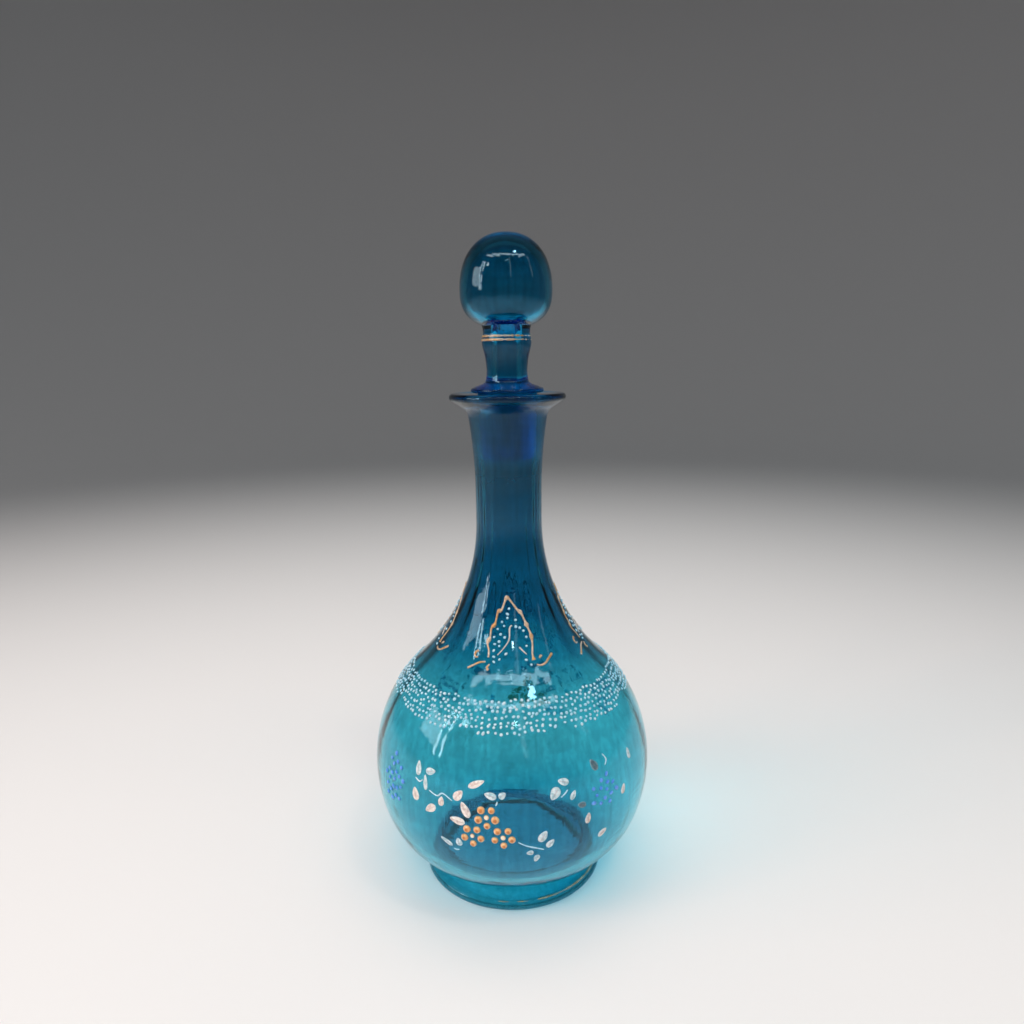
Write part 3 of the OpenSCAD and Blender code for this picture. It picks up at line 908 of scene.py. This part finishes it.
def line(piece, path, width, height, swell=None, lumpy=None):
    """A raised line along a path of (angle, height), as wide as width times swell(share)."""
    places = [Place(angle, z) for angle, z in path]
    count = len(places)
    points = []
    rises = []
    for i, place in enumerate(places):
        before, after = places[max(i - 1, 0)], places[min(i + 1, count - 1)]
        along = (after.point - before.point).normalized()
        across = along.cross(place.out).normalized()
        share = i / (count - 1)
        grow = (swell(share) if swell else 1.0) * (lumpy.uniform(0.85, 1.15) if lumpy else 1.0)
        half = width / 2 * grow
        for x, up in section:
            rise = height * up * min(1.15, 0.4 + 0.6 * grow)
            points.append(place.point + across * (x * half) + place.out * (paint_gap + rise))
            rises.append(up)
    n = len(section)
    faces = strip(count, n, True)
    faces.append(tuple(range(n - 1, -1, -1)))
    faces.append(tuple(range((count - 1) * n, count * n)))
    piece.add(points, [f[::-1] for f in faces], rise=rises)


# %% [markdown]
# The pointed arches
#
# Four gilt arches stand round the shoulder, a quarter turn apart. Each is drawn in raised
# gilding with three cusps on each side, and the hand has left a blob at every cusp. White
# dots fill it, and two strokes sweep from its middle to its feet.

# %% Draw the arches
SIDES = {"front": 0, "right": 90, "back": 180, "left": 270}
arch_guides = [
    (-17, 102.6), (-17.6, 104.8), (-19.8, 107), (-18.4, 109.2), (-18.4, 112), (-15.6, 113.4),
    (-14.4, 115.6), (-13.4, 117.8), (-9.6, 118.6), (-7, 120.8), (-4, 122.9), (1.4, 121.4),
    (7.2, 118.8), (11.4, 117.4), (14.2, 115), (16.2, 112.8), (18.6, 109.6), (18.4, 106.6),
    (16.8, 103.6), (17, 101.6)]
arch_blobs = [(-19, 108), (-16.5, 113), (-12, 118.2), (-4, 122.9), (10.4, 117.8), (15.6, 113.2),
              (18.8, 109), (17, 101.6)]
scrolls = [
    [(18.4, 100.2), (21, 99.8), (25, 100.2), (28.4, 101.3), (32.6, 102.6)],
    [(21.6, 101.9), (22.6, 102.6), (23.8, 102.4)],
    [(-18.6, 101.2), (-23, 100.8), (-27, 99.7), (-30.6, 98.6)],
    [(-25.4, 102.3), (-27.8, 102.4), (-28.2, 103.6), (-26, 104.4)],
    [(-15.2, 100.6), (-16.8, 99.6), (-15.4, 98.8)]]
inner_strokes = [
    [(1.4, 113.2), (-0.8, 112.2), (-1.1, 108.9), (-3.6, 106.9), (-7.4, 104.9), (-10.4, 103.5)],
    [(7, 106), (10, 104.6), (12.2, 103.6)]]
arch_w = 1.05
gilt_h = 0.29
inner_w = 0.7
stroke_h = 0.35
dot_r = 0.62
arch_dot_r = 0.54
dot_h = 0.45


def turned(path, angle):
    return [(angle + x, z) for x, z in path]


def arch(side, angle):
    draw = random.Random("arch " + side)
    piece = Piece("arch_gilding_" + side)
    outline = smooth(arch_guides)

    def swell(share):
        x, z = outline[round(share * (len(outline) - 1))]
        near = min(math.hypot((x - bx) * 0.45, (z - bz) * 1.2) for bx, bz in arch_blobs)
        return 0.72 + 1.0 * math.exp(-(near / 0.9) ** 2)

    line(piece, turned(outline, angle), arch_w, gilt_h, swell, draw)
    for guides in scrolls:
        line(piece, turned(smooth(guides), angle), arch_w, gilt_h,
             lambda share: 0.6 + 0.35 * share, draw)
    return piece.finish(gilt, "bottle", "gilding", "arch_" + side)


def arch_strokes(side, angle):
    draw = random.Random("strokes " + side)
    piece = Piece("arch_brush_" + side)
    for guides in inner_strokes:
        line(piece, turned(smooth(guides), angle), inner_w, stroke_h,
             lambda share: 1 - 0.45 * share, draw)
    return piece.finish(stroke_paint, "bottle", "white_enamel", "arch_strokes_" + side)


arch_dots_at = [
    (-1.6, 119), (-3.5, 117.2), (-3, 115.6), (-8.4, 114.4), (-5.9, 112.9), (5.6, 114.9),
    (-12.3, 111.8), (-8.8, 110.3), (-14.4, 109.1), (-10.2, 107.9), (-13.8, 107), (-9.8, 106.4),
    (-13.9, 104.9), (-5.5, 109.2), (-4, 103.9), (5, 112.8), (8.8, 112.2), (12.5, 111.2),
    (13.8, 109.1), (13.3, 106.2), (-12.2, 101.5), (-8.2, 102.2), (-13.2, 102.9), (11.1, 101.9),
    (14.2, 100.4)]


def loose_bead(piece, draw, place, radius, height, spread):
    """A bead with the painter's small accidents."""
    size = radius * draw.uniform(0.8, 1.12)
    bead(piece, place, size, height * draw.uniform(0.8, 1.0), draw.choice((1.0, 1.05, 1.25)),
         draw.uniform(-40, 80), (draw.uniform(-spread, spread), draw.uniform(-spread, spread)))


def arch_dots(side, angle):
    draw = random.Random("dots " + side)
    piece = Piece("arch_beads_" + side)
    for x, z in arch_dots_at:
        loose_bead(piece, draw, Place(angle + x, z), arch_dot_r, dot_h, 0.15)
    return piece.finish(white, "bottle", "white_enamel", "arch_dots_" + side)


for side, angle in SIDES.items():
    arch(side, angle)
    arch_strokes(side, angle)
    arch_dots(side, angle)

# %% [markdown]
# The garland
#
# A band of white dots runs round the top of the globe, straight above and scalloped below.
# The rows are staggered like bricks. They were dotted by eye, so the pitch wanders.

# %% Dot the garland
garland_z = 90.4
garland_len = 13.2
garland_min = 8
dot_pitch = 2.2
lobes = 8
garland_wander = 0.3        # how far a row strays from its height
garland_a = math.degrees(math.asin((garland_z - globe_z) / globe_r))
row_step = dot_pitch * sin(60)


def lobe_len(angle):
    return garland_min + (garland_len - garland_min) * math.sqrt(abs(cos(angle * lobes / 2)))


def garland(side, angle):
    draw = random.Random("garland " + side)
    piece = Piece("garland_beads_" + side)
    phases = [draw.uniform(0, 360) for _ in range(3)]
    for row in range(math.floor(garland_len / row_step) + 1):
        down = row * row_step
        z = globe_z + globe_r * sin(garland_a - math.degrees(down / globe_r))
        count = round(2 * math.pi * glass_r(z) / dot_pitch / 4)
        for i in range(count):
            a = -45 + (i + 0.25 + 0.5 * (row % 2)) * 90 / count
            wander = garland_wander * (sin(9 * a + phases[row % 3]) + sin(20 * a + 40 * row)) * cos(2 * a)
            if down <= lobe_len(a):
                loose_bead(piece, draw, Place(angle + a, z + wander), dot_r, dot_h, 0.5)
    return piece.finish(white, "bottle", "white_enamel", "garland_" + side)


for side, angle in SIDES.items():
    garland(side, angle)

# %% [markdown]
# Flowers, leaves and stems
#
# Front and back carry the same spray: three flowers of five orange beads about a pearly
# centre, with small leaves and thin stems. A leaf is a patch of thick enamel with a crown
# along its middle, scratched veins and an edge where the enamel drew back.

# %% Drop the flowers
flower_at = [(-9.5, 54.2), (-14.8, 46.4), (-3.6, 46.6)]
flower_turn = 57
petals = 5
berry_r = 1.4
berry_h = 1
berry_ring_r = 3.2
pearl_r = 1.1


def flowers(side, angle):
    draw = random.Random("flowers " + side)
    berries = Piece("flower_beads_" + side)
    pearls = Piece("flower_pearls_" + side)
    for x, z in flower_at:
        centre = Place(angle + x, z)
        for i in range(petals):
            a = flower_turn + i * 360 / petals
            drift = (berry_ring_r * cos(a), berry_ring_r * sin(a))
            bead(berries, centre, berry_r * draw.uniform(0.92, 1.12),
                 berry_h * draw.uniform(0.85, 1.0), 1.0, 0.0, drift)
        bead(pearls, centre, pearl_r * draw.uniform(0.75, 0.95), berry_h * 0.8)
    berries.finish(orange, "bottle", "orange_enamel", "berries_" + side)
    pearls.finish(pearl, "bottle", "white_enamel", "pearls_" + side)


for side in ("front", "back"):
    flowers(side, SIDES[side])

# %% Paint a leaf
leaf_h = 0.3
leaves_a = [
    (-17.5, 56, 118, 6.4, 3.2), (-20.5, 51.4, 170, 6, 3.2), (-25.4, 41.6, 150, 5.4, 2),
    (-20.3, 42.6, 100, 3.4, 2.8), (-8.2, 62, 165, 4.6, 2.8), (-3.8, 62.3, 40, 3, 2.6),
    (10.8, 46.2, 60, 5, 3.4), (13.6, 42.8, 50, 4, 2.8), (6.1, 39.6, 180, 2.6, 2.4),
    (8.6, 36.8, 250, 3.4, 2.4)]
leaves_b = [
    (19.2, 65.2, 160, 4.4, 2.8), (15.6, 61.6, 235, 5, 4), (22.7, 59.8, 60, 3.8, 2.2),
    (33.2, 67.8, 120, 5, 3), (26, 55.4, 165, 3.6, 2.4), (53.5, 65.2, 95, 4.6, 2.2),
    (28.6, 49.4, 80, 4.4, 2.6), (47, 54, 70, 4, 2.6), (36, 40.4, 30, 4.4, 3)]
leaves_c = [
    (-39, 66, 95, 5.4, 2.8), (-33, 66.4, 15, 4.4, 2.8), (-34.8, 62, 100, 5.6, 2),
    (-39.2, 56.4, 105, 5, 3.6), (-31.8, 53.2, 215, 5.4, 3.2), (-27.2, 57.2, 85, 3.6, 2.6),
    (-20.4, 60.8, 50, 4.8, 3.4), (-13.6, 65.6, 25, 6.6, 2.6)]
PALE, PINK, DARK = 0.0, 0.6, 1.0
tones_a = [PINK, PINK, PALE, PALE, PALE, PALE, PALE, PALE, PALE, PALE]
tones_b = [PALE, PALE, PALE, DARK, DARK, PALE, PINK, PINK, PINK]
tones_c = [PALE, PALE, PALE, PINK, PINK, PINK, PINK, PINK]


def leaf_half_width(share, width):
    return width * 0.5 * math.sin(math.pi * share ** 0.85) ** 0.6 * (1.06 - 0.25 * share)


def leaf(piece, place, direction, length, width, tone):
    """A crowned leaf with its tip towards direction, in degrees from the right."""
    along_n, across_n = 14, 9
    points, vein, rim = [], [], []
    for i in range(along_n):
        share = 0.004 + 0.99 * i / (along_n - 1)
        x = length * (share - 0.5)
        half = max(0.03, leaf_half_width(share, width))
        for k in range(across_n):
            v = 2 * k / (across_n - 1) - 1
            y = half * v
            edge = max(abs(v), abs(2 * share - 1))
            crown = math.sqrt(max(0.0, 1 - edge ** 4))
            groove = math.exp(-(y / 0.16) ** 2)
            points.append(place.near(
                x * cos(direction) - y * sin(direction),
                x * sin(direction) + y * cos(direction),
                leaf_h * crown * (1 - 0.45 * groove)))
            side_vein = 0.5 + 0.5 * cos(360 * (share * 4 - abs(v) * 0.8))
            vein.append(max(groove, 0.5 * side_vein ** 6) * (1 - edge ** 6))
            rim.append(edge ** 6)
    top = strip(along_n, across_n)
    count = len(points)
    for i in range(along_n):
        share = 0.004 + 0.99 * i / (along_n - 1)
        x = length * (share - 0.5)
        half = max(0.03, leaf_half_width(share, width))
        for v in (-1, 1):
            points.append(place.near(
                x * cos(direction) - v * half * sin(direction),
                x * sin(direction) + v * half * cos(direction), -0.01))
            vein.append(0.0)
            rim.append(1.0)
    faces = [f[::-1] for f in top]
    for i in range(along_n - 1):
        a, b = count + 2 * i, count + 2 * i + 2
        faces.append((a, b, b + 1, a + 1))
        faces.append((i * across_n, (i + 1) * across_n, b, a))
        faces.append(((i + 1) * across_n - 1, a + 1, b + 1, (i + 2) * across_n - 1))
    faces.append(tuple(range(across_n)) + (count + 1, count))
    start = (along_n - 1) * across_n
    faces.append(tuple(range(start + across_n - 1, start - 1, -1))
                 + (count + 2 * along_n - 2, count + 2 * along_n - 1))
    piece.add(points, [f[::-1] for f in faces], vein=vein, rim=rim, tone=[tone] * len(points))


def leaves(side, groups):
    piece = Piece("leaf_enamel_" + side)
    for angle, places, tones in groups:
        for (x, z, direction, length, width), tone in zip(places, tones):
            leaf(piece, Place(angle + x, z), direction, length, width, tone)
    slot = "white_enamel" if side in ("front", "back") else "pinkish_enamel"
    return piece.finish(leaf_paint, "bottle", slot, "leaves_" + side)


leaf_groups = {
    "front": [(0, leaves_a, tones_a)],
    "right": [(0, leaves_b, tones_b), (180, leaves_c, tones_c)],
    "back": [(180, leaves_a, tones_a)],
    "left": [(0, leaves_c, tones_c), (180, leaves_b, tones_b)]}
for side, groups in leaf_groups.items():
    leaves(side, groups)

# %% Draw the stems
stem_w = 0.8
stems_a = [
    [(1.8, 44.6), (4.6, 43), (8, 41.8), (11.2, 40.6)],
    [(-5.6, 60.2), (-5.8, 59.4), (-6.2, 58.7)],
    [(-22.6, 39.2), (-21.6, 38.9), (-20.4, 39.2)]]
stems_b = [
    [(17.8, 60), (19.4, 61), (20.6, 62.2)],
    [(38.4, 66.2), (39.6, 68), (38.2, 70.2)]]
stems_c = [
    [(-32.6, 59.8), (-29, 58.8), (-26.6, 60.2), (-22.6, 58.4)],
    [(-39.8, 62.4), (-37.6, 61.6), (-36.2, 62.6)]]


def stems(side, groups):
    draw = random.Random("stems " + side)
    piece = Piece("stem_enamel_" + side)
    for angle, paths in groups:
        for guides in paths:
            line(piece, turned(smooth(guides), angle), stem_w, stroke_h,
                 lambda share: 0.9 - 0.4 * abs(2 * share - 1), draw)
    return piece.finish(white, "bottle", "white_enamel", "stems_" + side)


stem_groups = {
    "front": [(0, stems_a)],
    "right": [(0, stems_b), (180, stems_c)],
    "back": [(180, stems_a)],
    "left": [(0, stems_c), (180, stems_b)]}
for side, groups in stem_groups.items():
    stems(side, groups)

# %% [markdown]
# Blue clusters
#
# Between the sprays hang clusters of small blue beads, like grapes or forget-me-nots. A
# sunflower spiral fills an oval evenly, and the beads then drift a little.

# %% Fill the blue clusters
blue_r = 0.95
bead_area = 9.2
cluster_w = 6.5
turn_step = 137.5
right_cluster = (36.5, 57.5, 6.5)
left_cluster = (-53, 57, 10)


def blue_cluster(name, angle, cluster):
    draw = random.Random("cluster " + name)
    x, z, half_height = cluster
    piece = Piece("blue_beads_" + name)
    beads = round(math.pi * cluster_w * half_height / bead_area)
    for i in range(beads):
        out = math.sqrt((i + 0.5) / beads)
        across = out * cluster_w * cos(i * turn_step)
        place = Place(angle + x + math.degrees(across / globe_r),
                      z + out * half_height * sin(i * turn_step))
        loose_bead(piece, draw, place, blue_r, dot_h * 1.3, 0.15)
    return piece.finish(blue, "bottle", "blue_enamel", "blue_cluster_" + name)


blue_cluster("front_right", 0, right_cluster)
blue_cluster("back_right", 180, left_cluster)
blue_cluster("back_left", 180, right_cluster)
blue_cluster("front_left", 0, left_cluster)

# %% [markdown]
# Worn gilt rings
#
# Two gilt lines circle the stopper's collar, and one follows the foot's rim. Fingers and
# shelves have rubbed them: whole stretches are gone and the rest has ragged edges. So each
# ring is built as short pieces whose width follows a slow wander, and nothing is built where
# the width runs out.

# %% Lay the worn rings
gilt_t = 0.18
gilt_band_h = 1
gilt_band_gap = 0.4
collar_band_up = 0.8


def worn_ring(piece, draw, points, z0, z1, keep):
    """A thin ring on an outline from z0 to z1. keep(angle) is its share of the full width."""
    count = 360
    back = 180              # the brush starts and ends behind the bottle
    wander = [draw.uniform(-1, 1) for _ in range(count)]
    for _ in range(3):
        wander = [(wander[i - 1] + wander[i] + wander[(i + 1) % count]) / 3 for i in range(count)]
    shares = [max(0.0, min(1.0, keep(i + back) + 0.9 * wander[i])) for i in range(count)]
    middle = (z0 + z1) / 2
    i = 0
    while i < count:
        if shares[i] < 0.15:
            i += 1
            continue
        stop = i
        while stop < count and shares[stop] >= 0.15:
            stop += 1
        rows = []
        for k in range(i, stop + 1):
            half = (z1 - z0) / 2 * shares[k % count] * (0.2 if k in (i, stop) else 1.0)
            for z, up in ((middle - half, 0), (middle - half * 0.6, 1), (middle + half * 0.6, 1),
                          (middle + half, 0)):
                r = radius_at(points, z) + paint_gap + gilt_t * 0.9 * up
                rows.append((r * sin(k + back), -r * cos(k + back), z))
        n = stop + 1 - i
        faces = strip(n, 4, True)
        faces.append((3, 2, 1, 0))
        faces.append(tuple(range((n - 1) * 4, n * 4)))
        piece.add(rows, faces, rise=[1.0] * len(rows))
        i = stop + 1


def collar_gilding():
    piece = Piece("collar_gilt_lines")
    draw = random.Random("collar")
    low = collar_z + collar_band_up

    def upper(angle):
        return 0.55 + 0.45 * cos(angle + 50)

    def lower(angle):
        return 0.4 + 0.75 * cos(angle + 50)

    worn_ring(piece, draw, stopper_outline, low, low + gilt_band_h, lower)
    start = low + gilt_band_h + gilt_band_gap
    worn_ring(piece, draw, stopper_outline, start, start + gilt_band_h, upper)
    return piece.finish(gilt, "stopper", "gilding", "collar_gilding")


def foot_gilding():
    piece = Piece("foot_gilt_line")
    draw = random.Random("foot")
    low = foot_lip_h + gilt_band_gap
    worn_ring(piece, draw, foot_flare, low, low + gilt_band_h / 2,
              lambda angle: 1.5 * cos(angle - 62) - 0.6)
    return piece.finish(gilt, "bottle", "gilding", "foot_gilding")


collar_gilding()
foot_gilding()

# %% [markdown]
# The studio
#
# Glass shows what stands around it, so the set is part of the look. The floor is a round
# sheet of pale paper that curls up on every side, so there is no horizon line from anywhere.
# The paper's colour is paler near the bottle and greyer far off, a pool of light painted into
# the paper: the globe, seen against the near floor, glows, and the neck and the ball, seen
# against the far paper, stay deep.

# %% Build the floor and the backdrop
floor_colour = (0.80, 0.80, 0.80)
# Painted shade: the paper turns to this grey far from the bottle.
painted_shade_far_colour = (0.30, 0.31, 0.32)
pale_to, dim_from = 200, 1300       # millimetres from the bottle
flat_r = 1.3
bend_r = 1.0
rim_z = 2.8
paper_sides = 96


def sweep():
    profile = [(flat_r * i / 6, 0.0) for i in range(1, 7)]
    profile += [(flat_r + bend_r * sin(a), bend_r * (1 - cos(a))) for a in range(6, 91, 6)]
    profile += [(flat_r + bend_r, rim_z)]
    points = [(r * sin(360 * k / paper_sides), -r * cos(360 * k / paper_sides), z)
              for r, z in profile for k in range(paper_sides)]
    faces = [f[::-1] for f in strip(len(profile), paper_sides, True)] + [tuple(range(paper_sides))]
    mesh = bpy.data.meshes.new("studio_sweep")
    mesh.from_pydata(points, [], faces)
    mesh.shade_smooth()
    floor = Finish("studio_paper")
    where = floor.place()
    grain = floor.noise(where, 0.4, 3.0)
    away = floor.node("ShaderNodeVectorMath", {"operation": "LENGTH"}, {0: where}, "Value")
    paper = floor.mix(grain * 0.1, floor_colour, tuple(c * 0.94 for c in floor_colour))
    # Painted pool of light: the paper's colour is pale near the bottle and fades to grey far off.
    colour = floor.mix(floor.fade(away, pale_to, dim_from), paper, painted_shade_far_colour)
    mesh.materials.append(floor.done(floor.surface(Base_Color=colour, Roughness=0.8)))
    stage = bpy.data.objects.new("studio_sweep", mesh)
    bpy.context.scene.collection.objects.link(stage)
    return stage


stage = sweep()
print("the paper is", round(stage.dimensions.x, 2), "m across")

# %% [markdown]
# The lights
#
# Two wide lamps, one overhead and one in front, light the floor and the paint evenly, and
# are hidden from mirrors. The glass mirrors a second set instead: two narrow window panes
# and a soft card at the left, a long strip overhead for the band under the arch, thin strips
# at the right and in front, and two small lamps for the sparks.

# %% Hang the lights
def softbox(name, place, target, width, height, power, mirrored=True, colour=(1, 1, 1)):
    """A rectangular lamp. Where it isn't mirrored, the glass doesn't show its shape."""
    data = bpy.data.lights.new(name, "AREA")
    data.shape = "RECTANGLE"
    data.size = width
    data.size_y = height
    data.energy = power
    data.color = colour
    lamp = bpy.data.objects.new(name, data)
    aim = (Vector(target) - Vector(place)).to_track_quat("-Z", "Y")
    lamp.matrix_world = Matrix.Translation(place) @ aim.to_matrix().to_4x4()
    lamp.visible_camera = False
    lamp.visible_glossy = mirrored
    lamp.visible_transmission = False
    bpy.context.scene.collection.objects.link(lamp)
    return lamp


middle = (0, 0, 0.1)
warm = (1.0, 0.82, 0.75)
lamp_away = 1.4
band_z = 96.5


def mirrored_at(angle, z):
    """Where a lamp hangs if the camera is to see its mirror image at this place."""
    place = Place(angle, z)
    view = (camera.matrix_world.translation - place.point * MM).normalized()
    away = 2 * place.out.dot(view) * place.out - view
    return place.point * MM + away * lamp_away


def window(place, target, columns, rows, pane_w, pane_h, bar, power):
    """A window of several panes that all face the target, with dark bars between them."""
    turn = (Vector(target) - Vector(place)).to_track_quat("-Z", "Y")
    right, up = turn @ Vector((1, 0, 0)), turn @ Vector((0, 1, 0))
    towards = turn @ Vector((0, 0, -1))
    for i in range(columns):
        for k in range(rows):
            side = (i - (columns - 1) / 2) * (pane_w + bar)
            rise = (k - (rows - 1) / 2) * (pane_h + bar)
            pane = Vector(place) + right * side + up * rise
            softbox(f"window_pane_{i}_{k}", pane, pane + towards, pane_w, pane_h, power, True, warm)


softbox("ceiling", (0, 0, 1.7), middle, 1.6, 1.6, 15, False, (0.96, 1.0, 1.0))
softbox("front_fill", (0, -1.3, 0.9), middle, 1.0, 0.6, 7, False, (0.96, 1.0, 1.0))
window((-1.25, -0.62, 0.75), middle, 2, 2, 0.06, 0.42, 0.09, 1.3)
softbox("left_card", (-1.36, -0.3, 0.66), middle, 0.55, 0.5, 4.5, True, warm)
for i, angle in enumerate((-20, -12, -4, 4, 12, 20)):
    softbox(f"overhead_band_{i}", mirrored_at(angle, band_z), middle, 0.36, 0.1, 0.9, True, warm)
softbox("left_spark", (-0.95, -0.8, 1.05), middle, 0.14, 0.14, 0.9, True, warm)
softbox("globe_spark", mirrored_at(11, 91.5), middle, 0.12, 0.12, 1.6, True, (0.8, 0.95, 1.0))
softbox("right_strip", (1.3, -0.5, 1.0), middle, 0.06, 0.8, 0.4, True, warm)
softbox("front_strip", (0.26, -1.3, 1.15), middle, 0.1, 1.2, 0.8, True, warm)
softbox("front_spark", (0.1, -1.4, 1.5), middle, 0.08, 0.08, 1.2, True, warm)

world = bpy.data.worlds.new("studio_air")
world.use_nodes = True
world.node_tree.nodes["Background"].inputs["Color"].default_value = (0.8, 0.85, 0.9, 1)
world.node_tree.nodes["Background"].inputs["Strength"].default_value = 0.12
bpy.context.scene.world = world
bpy.context.scene.view_settings.view_transform = "Standard"
